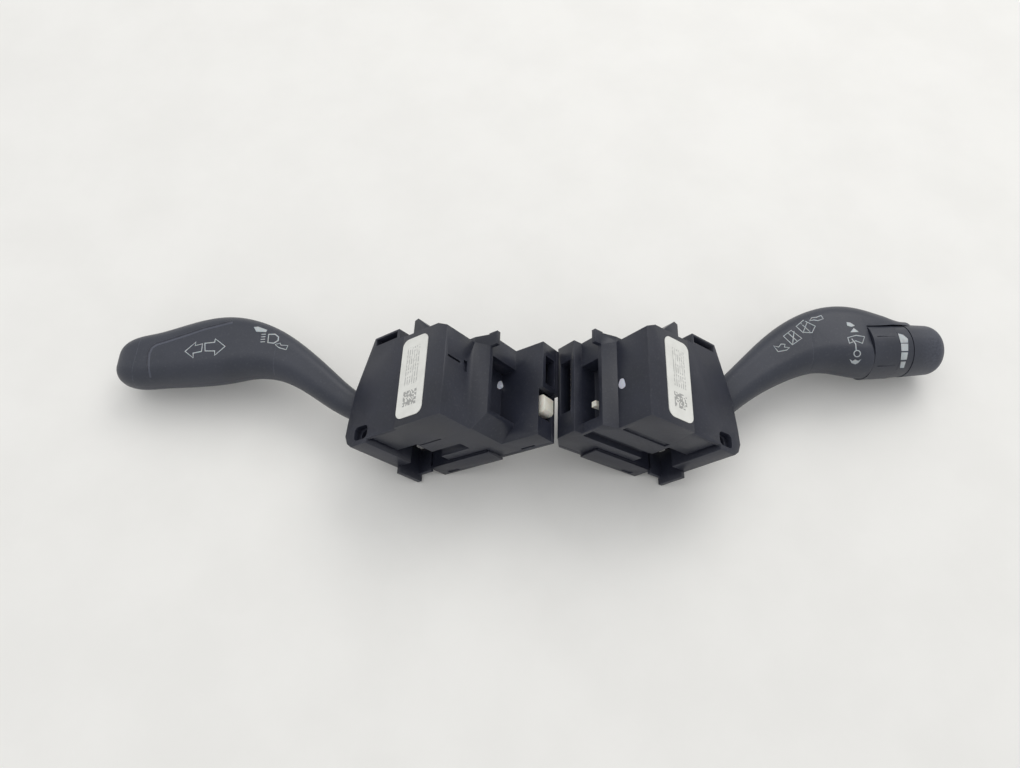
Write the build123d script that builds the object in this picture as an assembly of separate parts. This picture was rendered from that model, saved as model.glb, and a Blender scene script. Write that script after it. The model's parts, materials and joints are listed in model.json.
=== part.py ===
from build123d import *
import os
from math import cos, radians, sin

# A pair of steering-column stalk switches lying on a table as they sit in a car seen from the seat:
# the turn-signal stalk on the left, the wiper stalk on the right, inner ends leaning together.
# Millimetres.  World frame: +X from the turn stalk's tip to the wiper stalk's tip, +Y up the column
# face, +Z up from the table.
# Each module has its own frame: p runs from the lever end to the column end, a along +Y, and q down
# from the label face into the box.  Module solids are drawn as x = p, y = a, z = -q.

# ---- how the pair lies -------------------------------------------------------------------------
tilt = 38.25            # slope of both label faces
half_span = 80.5        # middle of the pair to the outer edge of each label face
turn_near_y = -1.2      # near face of the turn module
wiper_near_y = 1.2      # near face of the wiper module

# ---- housing -----------------------------------------------------------------------------------
wall = 2.0
near_wall = 4.5         # the near wall is thick enough for the guide groove
depth_a = 42.5          # near face to far face
box_start = 11.0        # where the box begins behind the flange
step_start = 26.0       # raised part of the label face
ridge_p = 51.0          # ridge between label face and inner face
shoulder_q = 17.3       # foot of the inner face
shoulder_drop = 2.0     # fall across the shoulder
shoulder_p = 58.0
ridge_chamfer = 2.6
turn_end_p = 72.5       # column end of the turn module
turn_end_rise = 9.5     # its end block above the housing's underside
wiper_end_p = 62.3
wiper_end_rise = 14.8
fit_gap = 0.3           # clearance between pieces that move past each other

# near-side notch, guide groove and rails
notch_end = 22.0
notch_start_q = 17.0
notch_depth = 7.0
notch_wall = 1.5
groove_q = (26.5, 32.5)
groove_depth = 3.0
turn_groove_end = 38.0
wiper_groove_end = 56.5
skirt_rise = 7.6        # top of the base's skirt above the housing's underside
seam_width = 1.2
seam_depth = 1.2
turn_score = ((22.5, 34.5), (18.2, 19.0))
wiper_score = ((24.0, 49.0), (14.6, 17.6))
score_depth = 0.8

# latch tabs on the far side
tab_p = (30.5, 40.0)
tab_reach = 7.5
tab_q = (0.0, 9.0)
rib_tab = (3.4, 5.5, 2.0)   # small hook at the shoulder's far end: reach, length, thickness

# recess under the shoulder, slots and paint-side details
recess_depth = 7.5
recess_lip = 2.0
turn_recess_a = (8.0, 33.0)
wiper_recess_a = (4.5, 31.0)
slit_a = (26.1, 27.1)
slit_q = (1.8, 9.5)
window_a = (23.8, 28.8)
window_q = (11.3, 13.6)
window_depth = 1.2
vent_rise = 1.4
vent_width = 1.2
turn_vents_p = ((15.0, 21.5), (55.6, 62.7))
wiper_vents_p = ((18.5, 22.5), (35.5, 40.0))
corner_run = 6.5        # the wiper module's lower column corner is cut off
end_step = 2.0          # the turn module's end block is shorter near the pawl
end_step_a = 20.9

# ---- flange: the outer plate that carries the lever mouth ---------------------------------------
plate_q = (0.6, 2.4)
plate_notch_p = 21.6
notch_beyond = 1.0      # the plate's far notch lies this far beyond the far face
hook_reach = 5.0
plate_far_p = 6.7
plate_bulge = 4.5
foot_p = 9.0
foot_q = 27.0
flange_near = 2.0       # how far the flange stands out of the near face
flange_wall = 2.4
flange_q = 36.0
mouth_near = 10.0
turn_far_foot = 8.5      # flange left between the mouth and the far face
wiper_far_foot = 3.0
mouth_reach_q = (15.0, 7.5)
relief_p = 2.8          # the wiper flange is cut back where its bent arm swings by
relief_a = 32.5
relief_q = 20.0
rim_p = (1.0, 3.2)
rim_q = (27.0, 40.3)
rim_reach = 5.2
screw_hole = (5.2, 3.4)
screw_hole_r = 2.6
counterbore_size = (8.0, 6.2)
counterbore_depth = 3.0
hook_q = 9.0            # the far end of the flange is a hollow hook
hook_rim = 0.9
hook_floor = 1.5

# ---- base ---------------------------------------------------------------------------------------
base_start = 10.0
base_thick = 2.0
skirt_reach = 1.0
skirt_end = 43.5
base_screw_r = 1.25
base_screw_head_r = 2.3
base_screw_head = 1.2
screw_post_r = 3.0
post_screw_depth = 8.0

# ---- label --------------------------------------------------------------------------------------
label_size = (14.4, 36.7)
label_start = (26.4, 3.2)
label_corner = 3.2
label_thick = 0.25

# ---- lever bearing ------------------------------------------------------------------------------
pivot_p = 21.0
pivot_a = 20.5
pivot_q = 21.0
yoke_outer = 5.2        # pivot to the yoke's outer face
yoke_inner = 7.0        # and to its inner face
yoke_half_a = 9.8
yoke_half_q = 9.5
window_half_a = 6.6
window_half_q = 7.0
trunnion_r = 3.5
trunnion_length = 4.0
bearing_play = 0.06
boss_r = 6.5
bridge_thick = 3.0
bridge_half_p = 3.8
pull_pin_r = 2.0
root_half_a = 6.0
root_half_q = 5.0
root_start = 10.5
root_end = 30.0
tail_half = 4.0
tail_end = 37.0

# ---- detent, switches and contacts ----------------------------------------------------------------
detent_sphere = 18.1
detent_step_r = 1.6
detent_sink = 0.55
detent_half_a = 10.0
detent_reach_q = (8.0, 6.5)
detent_start = 34.0
turn_detents = (-12.0, 0.0, 12.0)
wiper_detents = (-4.0, 0.0, 4.0, 8.0, 12.0)
plunger_r = 1.7
plunger_play = 0.08
plunger_stem_r = 0.85
plunger_nose = 17.8     # nose tip from the pivot
plunger_length = 5.0
plunger_tip_r = 0.5
plunger_travel = 1.2
spring_wire_r = 0.22
spring_turns = 2
spring_length = 3.6
strip_clear = 0.3
board_thick = 1.6
board_space = 4.4       # board to the housing's underside
board_start = 14.0
switch_p = (29.6, 37.4)
switch_half_a = 5.0
switch_drop = 3.3       # lever tail to switch
button_p = (31.2, 33.8)
button_half_a = 2.4
button_well = 3.4
button_travel = 1.8
slider_p = (17.4, 29.2)
slider_half_a = 9.0
slider_clear = 2.4      # bearing bridge to slider
slider_thick = 3.5
finger_p = 27.0
finger_half = 1.2
strip_thick = 0.2
strip_width = 1.2
strip_count = 3

# ---- connector and cancelling pawl ----------------------------------------------------------------
socket_rise = 7.4
socket_height = 6.2
turn_socket_far = 6.0    # far face to the sockets
wiper_socket_far = 8.5
turn_socket_width = 13.0
header_gap = 0.1        # pin header to roof and screw post
wiper_socket_rise = 5.0  # the wiper socket sits this much nearer the label side
socket_depth = 11.0
header_thick = 3.0
pin_side = 0.64
pin_pitch = 2.5
pin_row_inset = 1.0
pin_row_pitch = 2.4
pawl_a = 14.65
pawl_half = 4.0
pawl_rise = 8.7
pawl_pivot = 14.0       # pivot to the end face
pawl_pin_r = 1.5
pawl_slot_half = 6.2

clip_a = 11.0
clip_q = 24.2
clip_half = 1.2

# ---- levers -----------------------------------------------------------------------------------------
# Stations along each lever from the flange to the tip:
# distance from the middle of the pair, a, drop below the label's low edge, width across, thickness
turn_stations = (
    (58.2, 20.5, 8.9, 12.0, 10.0),
    (67.8, 20.5, 16.1, 12.0, 10.0),
    (85.3, 24.3, 14.2, 12.5, 11.0),
    (97.7, 32.2, 12.7, 14.5, 12.5),
    (113.0, 42.3, 11.5, 18.5, 14.5),
    (128.0, 48.0, 11.2, 25.5, 17.5),
    (142.3, 49.2, 11.7, 31.5, 19.6),
    (158.8, 47.2, 13.2, 31.2, 19.2),
    (178.0, 44.3, 15.7, 26.8, 17.0),
    (190.6, 43.2, 17.4, 23.0, 14.8),
    (194.6, 43.0, 17.9, 18.0, 11.4),
    (196.3, 42.9, 18.1, 11.5, 7.6),
)
wiper_stations = (
    (58.2, 20.5, 8.9, 12.0, 10.0),
    (67.8, 20.5, 16.1, 12.0, 10.0),
    (86.0, 34.9, 13.9, 15.5, 11.5),
    (100.9, 47.0, 12.3, 20.0, 14.0),
    (118.4, 57.8, 11.3, 27.0, 17.5),
    (132.7, 61.6, 11.1, 32.5, 20.5),
    (147.2, 60.9, 12.1, 33.0, 21.5),
    (162.0, 60.6, 14.1, 28.6, 20.5),
    (177.0, 61.2, 16.3, 23.6, 19.0),
)
neck_split = 121.0      # where arm and knob meet, from the middle of the pair
cap_length = 10.3       # the turn stalk's end cap
core_r = 3.6            # rod inside the knob
core_gap = 0.1
core_start = (46.4, 11.6)   # a and drop where the rod meets the arm
core_end = (44.2, 16.6)     # and the end cap
seam_slope = 4.5            # the seam between the knob shells falls towards the tip

ring_axis_start = (145.7, 57.3, 12.9)   # as in the stations
ring_axis_end = (181.0, 61.8, 17.2)
ring_r = (13.2, 12.8)
band_r = (12.6, 12.1)
knob_r = 12.3
ring_length = 12.6
band_length = 6.6
ring_gap = 0.35
end_knob_length = 18.6
end_knob_round = 6.5
ring_shaft_r = 5.0
rib_count = 6
rib_depth = 0.45
spine_end = 24.0        # along the ring axis
spine_clear = 0.45
ring_plane_reach = 40.0 # cutting tools reach this far from the ring axis
slab_size = 300.0       # cutting slabs clear the whole stalk
shaft_seat = 16.0       # shaft length held in the knob body
knob_bore = 10.0        # and inside the end knob

cos_t = cos(radians(tilt))
sin_t = sin(radians(tilt))
# depth stack, from the lever's axis down to the base
yoke_end_q = pivot_q + yoke_half_q
bridge_end_q = yoke_end_q + fit_gap + bridge_thick
slider_q = (bridge_end_q + slider_clear, bridge_end_q + slider_clear + slider_thick)
board_q = (slider_q[1] + strip_clear, slider_q[1] + strip_clear + board_thick)
skin_q = board_q[1] + board_space
base_q = skin_q + base_thick
label_height = base_q * cos_t - base_start * sin_t
seam_q = (skin_q - skirt_rise - seam_width, skin_q - skirt_rise)
notch_q = (notch_start_q, seam_q[1])
vent_q = (skin_q - vent_rise, skin_q - vent_rise + vent_width)
turn_end_q = skin_q - turn_end_rise
wiper_end_q = skin_q - wiper_end_rise
socket_q = (skin_q - socket_rise, skin_q - socket_rise + socket_height)
pin_rows_q = (socket_q[0] + pin_row_inset, socket_q[0] + pin_row_inset + pin_row_pitch)
pawl_q = (skin_q - pawl_rise, socket_q[1])
switch_q = pivot_q + tail_half + switch_drop
detent_q = (pivot_q - detent_reach_q[0], pivot_q + detent_reach_q[1])
mouth_q = (pivot_q - mouth_reach_q[0], pivot_q + mouth_reach_q[1])
plate_notch_a = depth_a + notch_beyond
plate_far = plate_notch_a + hook_reach
turn_mouth_far = depth_a - turn_far_foot
wiper_mouth_far = depth_a - wiper_far_foot
turn_socket_a = (depth_a - turn_socket_far - turn_socket_width, depth_a - turn_socket_far)
wiper_socket_a = (near_wall + 1.8 * screw_post_r + header_gap, depth_a - wiper_socket_far)
wiper_socket_q = (socket_q[0] - wiper_socket_rise, socket_q[1] - wiper_socket_rise)
cap_split = turn_stations[-1][0] - cap_length


# ---- module frame -----------------------------------------------------------------------------------
def module_plane(near_y):
    return Plane(origin=(-half_span, near_y, label_height), x_dir=(cos_t, 0, sin_t), z_dir=(-sin_t, 0, cos_t))


def place(solid, side):
    """Puts a solid drawn in module axes where its side lies."""
    near_y = turn_near_y if side == "turn" else wiper_near_y
    placed = module_plane(near_y).location * solid
    return placed if side == "turn" else placed.mirror(Plane.YZ)


def block(p, a, q):
    size = (p[1] - p[0], a[1] - a[0], q[1] - q[0])
    centre = ((p[0] + p[1]) / 2, (a[0] + a[1]) / 2, -(q[0] + q[1]) / 2)
    return Pos(*centre) * Box(*size)


def side_prism(points, a):
    """A p-q outline drawn out along a."""
    face = Plane.XZ * make_face(Polyline([(p, -q) for p, q in points], close=True))
    return Pos(0, a[0], 0) * extrude(face, -(a[1] - a[0]))


def top_prism(points, q):
    """A p-a outline drawn down along q."""
    face = make_face(Polyline(points, close=True))
    return Pos(0, 0, -q[1]) * extrude(face, q[1] - q[0])


def rod_q(p, a, r, q):
    return Pos(p, a, -(q[0] + q[1]) / 2) * Cylinder(r, q[1] - q[0])


def rod_a(p, q, r, a):
    return Pos(p, (a[0] + a[1]) / 2, -q) * Rot(90, 0, 0) * Cylinder(r, a[1] - a[0])


def rod_p(a, q, r, p):
    return Pos((p[0] + p[1]) / 2, a, -q) * Rot(0, 90, 0) * Cylinder(r, p[1] - p[0])


def around(middle, half):
    return (middle - half, middle + half)


# ---- housing, flange, base, label ---------------------------------------------------------------
def housing(side):
    turn = side == "turn"
    end_p, end_q = (turn_end_p, turn_end_q) if turn else (wiper_end_p, wiper_end_q)
    groove_end = turn_groove_end if turn else wiper_groove_end
    mouth_far = turn_mouth_far if turn else wiper_mouth_far
    top_q = plate_q[1]
    shoulder_end_q = shoulder_q + shoulder_drop
    inner_a = (near_wall, depth_a - wall)
    outline = [(box_start, top_q), (step_start, top_q), (step_start, 0), (ridge_p, 0), (ridge_p, shoulder_q),
               (shoulder_p, shoulder_end_q), (shoulder_p, end_q), (end_p, end_q)]
    outline += [(end_p, skin_q)] if turn else [(end_p, base_q - corner_run), (lower_corner(), skin_q)]
    outline += [(box_start, skin_q)]
    cavity = [(box_start + wall, top_q + wall), (step_start + wall, top_q + wall), (step_start + wall, wall),
              (ridge_p - wall, wall), (ridge_p - wall, end_q + wall), (inner_end(side), end_q + wall)]
    cavity += [(inner_end(side), skin_q), (box_start + wall, skin_q)]
    body = side_prism(outline, (0, depth_a)) - side_prism(cavity, inner_a)

    # bearing boss for the yoke's upper trunnion
    yoke_top = pivot_q - yoke_half_q
    body += rod_q(pivot_p, pivot_a, boss_r, (top_q + wall, yoke_top - fit_gap))
    body -= rod_q(pivot_p, pivot_a, trunnion_r + bearing_play, (yoke_top - trunnion_length - fit_gap, yoke_top))

    # notch at the near corner, with its own back wall
    notch_p = (box_start, notch_end + notch_wall)
    body += block(notch_p, (0, notch_depth + notch_wall), (notch_q[0] - notch_wall, skin_q))
    body -= block((box_start - 1, notch_end), (-1, notch_depth), notch_q)
    body -= block((box_start - 1, box_start + wall), (mouth_near, mouth_far), mouth_q)

    # guide groove, seam and score line on the near face
    body -= block((notch_end - 1, groove_end), (-1, groove_depth), groove_q)
    body -= block((box_start - 1, skirt_end), (-1, seam_depth), seam_q)
    body -= block((skirt_end - seam_depth, skirt_end), (-1, seam_depth), (seam_q[0], skin_q + 1))
    score_p, score_q = turn_score if turn else wiper_score
    body -= block(score_p, (-1, score_depth), score_q)
    for vent_p in (turn_vents_p if turn else wiper_vents_p):
        body -= block(vent_p, (-1, seam_depth), vent_q)

    # ridge corner cut, the turn shoulder's slanting near end, and the recess under the shoulder
    body -= top_prism([(ridge_p - 2 * ridge_chamfer, depth_a), (ridge_p, depth_a - ridge_chamfer),
                       (ridge_p, depth_a + 1), (ridge_p - 2 * ridge_chamfer, depth_a + 1)], (-1, shoulder_q))
    if turn:
        body -= top_prism([(ridge_p + wall / 2, -1), (shoulder_p + 1, -1), (shoulder_p + 1, shoulder_p - ridge_p),
                           (ridge_p + wall / 2, 0)], (shoulder_q - 1, end_q))
        body -= block((ridge_p - window_depth, ridge_p + 0.5), slit_a, slit_q)
        body -= block((ridge_p - window_depth, ridge_p + 0.5), window_a, window_q)
        body -= block((end_p - end_step, end_p + 1), (-1, end_step_a), (end_q - 1, skin_q + 1))
    body -= block((shoulder_p - recess_depth, shoulder_p + 1), turn_recess_a if turn else wiper_recess_a,
                  (shoulder_end_q + recess_lip, end_q))

    # latch tabs and guide rails on the far face
    tip = depth_a + tab_reach
    body += top_prism([(tab_p[0], depth_a - 1), (tab_p[0], tip - 0.5), (tab_p[0] + wall, tip),
                       (tab_p[1], depth_a + 0.5), (tab_p[1], depth_a - 1)], (tab_q[0] + wall / 2, tab_q[1]))
    body += block((shoulder_p - 1, shoulder_p + rib_tab[0]), (depth_a - rib_tab[1], depth_a + 0.7),
                  (shoulder_end_q, shoulder_end_q + rib_tab[2]))
    for rail_q in (groove_q[0] - wall, groove_q[1]):
        body += block((box_start + wall, shoulder_p - wall), (depth_a - 0.5, depth_a + 0.8 * wall),
                      (rail_q, rail_q + wall))

    # screw posts for the base
    for p, a in post_places():
        body += rod_q(p, a, screw_post_r, (bridge_q()[1], skin_q))
        body -= rod_q(p, a, base_screw_r + bearing_play, (skin_q - post_screw_depth, skin_q + 1))

    # openings in the end block
    body -= block((inner_end(side) - wall, end_p + 1), *socket(side))
    if turn:
        slot_q = (pawl_q[0] - fit_gap, pawl_q[1] + fit_gap)
        body -= block((inner_end(side) - wall, end_p + 1), around(pawl_a, pawl_slot_half), slot_q)
    return place(body, side)


def lower_corner():
    """Where the wiper module's cut corner meets the underside of its housing."""
    return wiper_end_p - corner_run + base_q - skin_q


def inner_end(side):
    return turn_end_p - end_step - wall if side == "turn" else lower_corner() - wall / 2


def socket(side):
    return (turn_socket_a, socket_q) if side == "turn" else (wiper_socket_a, wiper_socket_q)


def post_places():
    inner_near = near_wall + 0.8 * screw_post_r
    inner_far = depth_a - wall - 0.8 * screw_post_r
    post_p = ridge_p - wall - screw_post_r
    return [(post_p, inner_near), (post_p, inner_far), (box_start + wall + screw_post_r, inner_far)]


def flange(side):
    mouth_far = turn_mouth_far if side == "turn" else wiper_mouth_far
    near = -flange_near
    outline = [(step_start, 0), (step_start, plate_notch_a), (plate_notch_p, plate_notch_a),
               (plate_notch_p, plate_far), (plate_far_p, plate_far), (-0.4 * plate_bulge, 0.52 * plate_far),
               (-0.9 * plate_bulge, 0.21 * plate_far), (-plate_bulge, 0.08 * plate_far),
               (-0.6 * plate_bulge, 0), (0, near), (foot_p, near), (foot_p, 0)]
    body = block((0, flange_wall), (near, depth_a), (plate_q[0], flange_q))
    for foot_a in ((near, mouth_near), (mouth_far, depth_a)):
        body += block((0, foot_p), foot_a, (plate_q[0], foot_q))
    body &= top_prism(outline, (0, base_q))
    body += top_prism(outline, plate_q)
    hook = [(plate_notch_p, depth_a), (plate_notch_p, plate_far), (plate_far_p, plate_far),
            (plate_far_p - 2, depth_a)]
    body += top_prism(hook, (plate_q[0], hook_q))
    pocket_p = (plate_far_p + hook_rim, plate_notch_p - hook_rim)
    body -= block(pocket_p, (plate_notch_a + hook_rim, plate_far - hook_rim), (-1, hook_q - hook_floor))
    body += block(rim_p, (-rim_reach, mouth_near), rim_q)
    body += block((rim_p[1], base_start), (-flange_near, mouth_near), (rim_q[1] - wall, rim_q[1]))
    for lug_a in ((wall, 2 * wall), (depth_a - 2 * wall, depth_a - wall)):
        body += block((foot_p - 1, box_start), lug_a, (foot_q / 3, foot_q * 2 / 3))
    body -= block((-1, foot_p + 1), (mouth_near, mouth_far), mouth_q)
    body -= rod_q(screw_hole[0], screw_hole[1], screw_hole_r, (-1, foot_q + 1))
    seat = Pos(*screw_hole, -plate_q[0] - counterbore_depth) * RectangleRounded(*counterbore_size, counterbore_size[1] / 3)
    body -= extrude(seat, counterbore_depth + 1)
    if side == "wiper":
        body -= block((-1, relief_p), (relief_a, depth_a + 1), (plate_q[1], relief_q))
    return place(body, side)


def base(side):
    if side == "turn":
        body = block((base_start, turn_end_p), (0, depth_a), (skin_q, base_q))
        body -= block((turn_end_p - end_step, turn_end_p + 1), (-1, end_step_a), (skin_q - 1, base_q + 1))
    else:
        corner = lower_corner()
        body = side_prism([(base_start, skin_q), (corner, skin_q), (corner - base_q + skin_q, base_q),
                           (base_start, base_q)], (0, depth_a))
    body += block((base_start, skirt_end), (-skirt_reach, 0), (seam_q[1], base_q))
    body -= block((base_start + 2 * wall, base_start + 5 * wall), (-skirt_reach - 1, -skirt_reach / 2),
                  (skin_q - wall / 2, skin_q + wall / 2))
    for p, a in post_places():
        body -= rod_q(p, a, base_screw_r + bearing_play, (skin_q - 1, base_q + 1))
        body -= rod_q(p, a, base_screw_head_r + bearing_play, (base_q - base_screw_head, base_q + 1))
    pillar_p = (board_start + 2 * wall, header_p(side)[0] - 4 * wall)
    for p, a in zip(pillar_p, (board_a()[0] + wall, board_a()[1] - wall)):
        body += block(around(p, wall), around(a, wall), (board_q[1], skin_q + 0.5))
    return place(body, side)


def base_screws(side):
    head = extrude(RegularPolygon(base_screw_head_r, 6), base_screw_head - 0.1)
    screws = [rod_q(p, a, base_screw_r, (skin_q - post_screw_depth + 1, base_q - base_screw_head))
              + Pos(p, a, 0.1 - base_q) * head for p, a in post_places()]
    return Compound(children=[place(screw, side) for screw in screws])


def label(side):
    p, a = label_start
    outline = Pos(p + label_size[0] / 2, a + label_size[1] / 2, 0) * RectangleRounded(*label_size, label_corner)
    return place(extrude(outline, label_thick), side)


# ---- lever bearing, detent and contacts -----------------------------------------------------------
def yoke(side):
    centre_a = around(pivot_a, yoke_half_a)
    length = (pivot_p - yoke_outer, pivot_p + yoke_inner)
    body = block(length, centre_a, around(pivot_q, yoke_half_q))
    body -= block((length[0] - 1, length[1] + 1), around(pivot_a, window_half_a), around(pivot_q, window_half_q))
    for q in ((pivot_q - yoke_half_q - trunnion_length, pivot_q - yoke_half_q),
              (pivot_q + yoke_half_q, pivot_q + yoke_half_q + trunnion_length)):
        body += rod_q(pivot_p, pivot_a, trunnion_r, q)
    # finger that carries the contact slider
    finger_a = around(pivot_a, finger_half)
    body += block(around(finger_p, finger_half), finger_a, (pivot_q + window_half_q, slider_q[1] - 0.5))
    body -= rod_a(pivot_p, pivot_q, pull_pin_r, around(pivot_a, yoke_half_a + 1))
    return place(body, side)


def pull_pin(side):
    return place(rod_a(pivot_p, pivot_q, pull_pin_r, around(pivot_a, yoke_half_a)), side)


def bridge_q():
    return yoke_end_q + fit_gap, bridge_end_q


def bearing_bridge(side):
    q = bridge_q()
    body = block(around(pivot_p, bridge_half_p), (notch_depth + notch_wall, depth_a - wall), q)
    body += rod_q(pivot_p, pivot_a, trunnion_r + wall / 2, q)
    body -= rod_q(pivot_p, pivot_a, trunnion_r + bearing_play, (q[0] - 1, q[1] + 1))
    return place(body, side)


def lever_root():
    body = block((root_start, root_end), around(pivot_a, root_half_a), around(pivot_q, root_half_q))
    body += block((root_end - 1, tail_end), around(pivot_a, tail_half), around(pivot_q, tail_half))
    body -= rod_a(pivot_p, pivot_q, pull_pin_r + bearing_play, around(pivot_a, root_half_a + 1))
    bore_start = tail_end - plunger_length - spring_length
    return body - rod_p(pivot_a, pivot_q, plunger_r + plunger_play, (bore_start, tail_end + 1))


def detent_plunger(side):
    tip = pivot_p + plunger_nose
    body = rod_p(pivot_a, pivot_q, plunger_r, (tip - plunger_length, tip - plunger_r))
    taper = plunger_r - plunger_play
    body += Pos(tip - plunger_r + taper / 2, pivot_a, -pivot_q) * Rot(0, 90, 0) * Cone(plunger_r, plunger_tip_r, taper)
    body += rod_p(pivot_a, pivot_q, plunger_stem_r, (tip - plunger_length - spring_length / 2, tip - plunger_length))
    return place(body, side)


def detent_spring(side):
    """Shown at the length it has with the plunger pressed home."""
    coil_r = plunger_r - spring_wire_r - plunger_play
    height = spring_length - plunger_travel - 2 * spring_wire_r
    path = Helix(pitch=height / spring_turns, height=height, radius=coil_r)
    start = Plane(origin=path @ 0, z_dir=path % 0)
    coil = sweep(start * Rectangle(2 * spring_wire_r, 2 * spring_wire_r), path=path)
    bore_start = tail_end - plunger_length - spring_length
    return place(Pos(bore_start + spring_wire_r + 0.05, pivot_a, -pivot_q) * Rot(0, 90, 0) * coil, side)


def detent_block(side):
    body = block((detent_start, ridge_p - wall), around(pivot_a, detent_half_a), detent_q)
    body -= Pos(pivot_p, pivot_a, -pivot_q) * Sphere(detent_sphere)
    for angle in (turn_detents if side == "turn" else wiper_detents):
        # the tail swings to the near side as the tip goes to the far side
        notch = Pos(detent_sphere - detent_step_r + detent_sink, 0, 0) * Cylinder(detent_step_r, 2 * detent_sphere)
        body -= Pos(pivot_p, pivot_a, -pivot_q) * Rot(0, 0, -angle) * notch
    return place(body, side)


def board_a():
    return (near_wall + 2 * screw_post_r - 0.5, depth_a - wall - 2 * screw_post_r + 0.5)


def circuit_board(side):
    start, end = header_p(side)
    body = block((board_start, start if side == "turn" else end), board_a(), board_q)
    if side == "turn":
        body -= block((turn_end_p - pawl_pivot - pawl_half, turn_end_p), (0, pawl_a + pawl_slot_half), board_q)
    return place(body, side)


def pull_switch(side):
    body = block(switch_p, around(pivot_a, switch_half_a), (switch_q, board_q[0]))
    well_p = (button_p[0] - fit_gap, button_p[1] + fit_gap)
    body -= block(well_p, around(pivot_a, button_half_a + fit_gap), (switch_q - 1, switch_q + button_well))
    return place(body, side)


def pull_button(side):
    top = pivot_q + tail_half + fit_gap
    return place(block(button_p, around(pivot_a, button_half_a), (top, switch_q + button_well - button_travel)), side)


def contact_slider(side):
    body = block(slider_p, around(pivot_a, slider_half_a), slider_q)
    reach = finger_half + fit_gap
    body -= block((finger_p - reach - fit_gap, finger_p + reach), around(pivot_a, reach), (slider_q[0] - 1, slider_q[1] + 1))
    return place(body, side)


def contact_strips(side):
    strips = []
    for i in range(strip_count):
        a = pivot_a + (i - (strip_count - 1) / 2) * 2.4 * strip_width * 2
        strips.append(block((slider_p[0] + 1, slider_p[1] - 5), around(a, strip_width / 2),
                            (slider_q[1], slider_q[1] + strip_thick)))
    return Compound(children=[place(strip, side) for strip in strips])


# ---- connector and cancelling pawl --------------------------------------------------------------------
def header_p(side):
    end_p = turn_end_p if side == "turn" else wiper_end_p
    return (end_p - socket_depth - header_thick, end_p - socket_depth)


def pin_places(side):
    socket_a, socket_range = socket(side)
    low, high = max(socket_a[0], board_a()[0]) + pin_side, min(socket_a[1], board_a()[1]) - pin_side
    count = int((high - low) // pin_pitch)
    first = (low + high - (count - 1) * pin_pitch) / 2
    shift = socket_range[0] - socket_q[0]
    return [(first + i * pin_pitch, q + shift) for i in range(count) for q in pin_rows_q]


def pin_header(side):
    """Stands between board or roof and base, behind the socket."""
    top = (turn_end_q if side == "turn" else wiper_end_q) + wall + header_gap
    body = block(header_p(side), socket(side)[0], (top, skin_q if side == "turn" else board_q[0]))
    for a, q in pin_places(side):
        body -= block((header_p(side)[0] - 1, header_p(side)[1] + 1), around(a, pin_side / 2), around(q, pin_side / 2))
    return place(body, side)


def connector_pins(side):
    p = (header_p(side)[0] - 2 * wall, header_p(side)[1] + 0.7 * socket_depth)
    pins = [place(block(p, around(a, pin_side / 2), around(q, pin_side / 2)), side) for a, q in pin_places(side)]
    return Compound(children=pins)


def cancel_pawl():
    pivot = turn_end_p - pawl_pivot
    nose = turn_end_p - fit_gap
    outline = [(pivot, pawl_a - 0.6 * pawl_half), (nose - pawl_half, pawl_a - pawl_half),
               (nose - 1, pawl_a - pawl_half), (nose, pawl_a - pawl_half + 1), (nose, pawl_a + pawl_half - 1),
               (nose - 1, pawl_a + pawl_half), (nose - pawl_half, pawl_a + pawl_half),
               (pivot, pawl_a + 0.6 * pawl_half)]
    q = (turn_end_q + wall + fit_gap, pawl_q[1])
    body = top_prism(outline, q) + rod_q(pivot, pawl_a, 0.6 * pawl_half, q)
    return place(body - rod_q(pivot, pawl_a, pawl_pin_r + bearing_play, (q[0] - 1, q[1] + 1)), "turn")


def pawl_pin():
    return place(rod_q(turn_end_p - pawl_pivot, pawl_a, pawl_pin_r, (turn_end_q + wall, skin_q)), "turn")


def retaining_clip():
    """Small clip in the recess under the wiper module's shoulder."""
    p = (shoulder_p - recess_depth, shoulder_p)
    return place(block(p, around(clip_a, clip_half), around(clip_q, clip_half)), "wiper")


# ---- levers -----------------------------------------------------------------------------------------------
def lever_form(stations, near_y):
    centres = [Vector(-x, near_y + a, label_height - drop) for x, a, drop, *_ in stations]
    sections = []
    for i, (_, _, _, width, thickness) in enumerate(stations):
        tangent = centres[min(i + 1, len(centres) - 1)] - centres[max(i - 1, 0)]
        across = tangent.cross(Vector(0, 0, 1)).normalized()
        plane = Plane(origin=centres[i], x_dir=across, z_dir=tangent.normalized())
        sections.append(plane * RectangleRounded(width, thickness, 0.455 * thickness))
    return loft(sections)


def slab(x_start, x_end):
    """Everything between two distances from the middle of the pair, on the left."""
    return Pos(-(x_start + x_end) / 2, depth_a, label_height) * Box(x_end - x_start, slab_size, slab_size)


def turn_lever_parts():
    form = lever_form(turn_stations, turn_near_y)
    tip = turn_stations[-1][0]
    arm = form & slab(0, neck_split)
    arm = arm + module_plane(turn_near_y).location * lever_root()
    knob = form & slab(neck_split, cap_split)
    cap = form & slab(cap_split, tip + 1)
    rod_start = Vector(-neck_split, turn_near_y + core_start[0], label_height - core_start[1])
    rod_end = Vector(-cap_split, turn_near_y + core_end[0], label_height - core_end[1])
    axis = Plane(origin=rod_start, z_dir=(rod_end - rod_start).normalized())
    length = (rod_end - rod_start).length
    rod = (axis * Pos(0, 0, length / 2) * Cylinder(core_r, length + 4)) & slab(neck_split, cap_split)
    bore = axis * Pos(0, 0, length / 2) * Cylinder(core_r + core_gap, length + 8)
    seam = Plane(origin=rod_start, z_dir=(-sin(radians(seam_slope)), 0, cos(radians(seam_slope))))
    upper = split(knob - bore, bisect_by=seam, keep=Keep.TOP)
    lower = split(knob - bore, bisect_by=seam, keep=Keep.BOTTOM)
    return arm, upper, lower, cap, rod


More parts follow.
